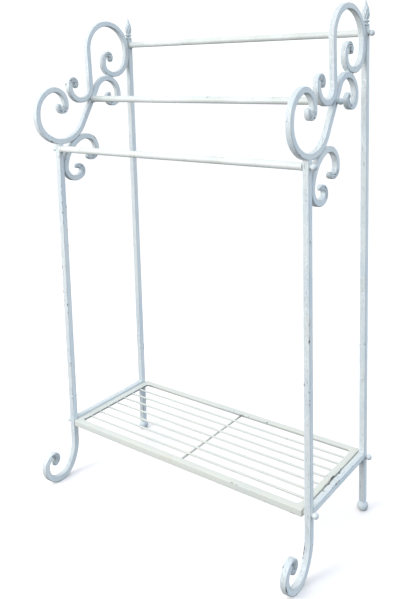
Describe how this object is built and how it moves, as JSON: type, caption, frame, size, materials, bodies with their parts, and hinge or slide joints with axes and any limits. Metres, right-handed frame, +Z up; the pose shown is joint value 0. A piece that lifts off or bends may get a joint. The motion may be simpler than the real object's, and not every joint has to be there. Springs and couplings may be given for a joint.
{
  "type": "towel rack",
  "caption": "Free-standing wrought-iron towel rack: scrolled square-bar side frames, round towel rails bolted between them and a wire shelf edged in angle iron.",
  "frame": {"origin": "on the floor, under the middle of the rack's overall box", "axes": "+X along the towel rails to the viewer's right as seen from the front, -Y towards the front (the low side), +Z up"},
  "size_m": [0.6074, 0.302, 0.96],
  "materials": {
    "frame_paint": "satin, distressed",
    "rail_paint": "satin, distressed",
    "shelf_paint": "satin, distressed",
    "bolt_paint": "satin, distressed",
    "plain_steel": "plain"
  },
  "bodies": {
    "root": {"left_front_leg": "frame_paint", "left_rear_post": "frame_paint", "left_crossbar": "frame_paint", "left_lower_scroll": "frame_paint", "left_upper_scroll": "frame_paint", "left_bracket_scroll": "frame_paint", "left_rear_foot": "frame_paint", "left_finial": "frame_paint", "right_front_leg": "frame_paint", "right_rear_post": "frame_paint", "right_crossbar": "frame_paint", "right_lower_scroll": "frame_paint", "right_upper_scroll": "frame_paint", "right_bracket_scroll": "frame_paint", "right_rear_foot": "frame_paint", "right_finial": "frame_paint", "top_towel_rail": "rail_paint", "top_rail_rings": "rail_paint", "top_rail_inserts": "plain_steel", "left_top_rail_bolt": "bolt_paint", "right_top_rail_bolt": "bolt_paint", "middle_towel_rail": "rail_paint", "middle_rail_rings": "rail_paint", "middle_rail_inserts": "plain_steel", "left_middle_rail_bolt": "bolt_paint", "right_middle_rail_bolt": "bolt_paint", "front_towel_rail": "rail_paint", "front_rail_rings": "rail_paint", "front_rail_inserts": "plain_steel", "left_front_rail_bolt": "bolt_paint", "right_front_rail_bolt": "bolt_paint", "shelf_front_rail": "shelf_paint", "shelf_rear_rail": "shelf_paint", "shelf_left_rail": "shelf_paint", "shelf_right_rail": "shelf_paint", "shelf_cross_wire": "shelf_paint", "shelf_wire_1": "shelf_paint", "shelf_wire_2": "shelf_paint", "shelf_wire_3": "shelf_paint", "shelf_wire_4": "shelf_paint", "shelf_wire_5": "shelf_paint", "shelf_wire_6": "shelf_paint", "shelf_wire_7": "shelf_paint", "shelf_spacers": "shelf_paint", "shelf_weld_nuts": "plain_steel", "left_front_shelf_bolt": "bolt_paint", "left_rear_shelf_bolt": "bolt_paint", "right_front_shelf_bolt": "bolt_paint", "right_rear_shelf_bolt": "bolt_paint"}
  },
  "joints": []
}
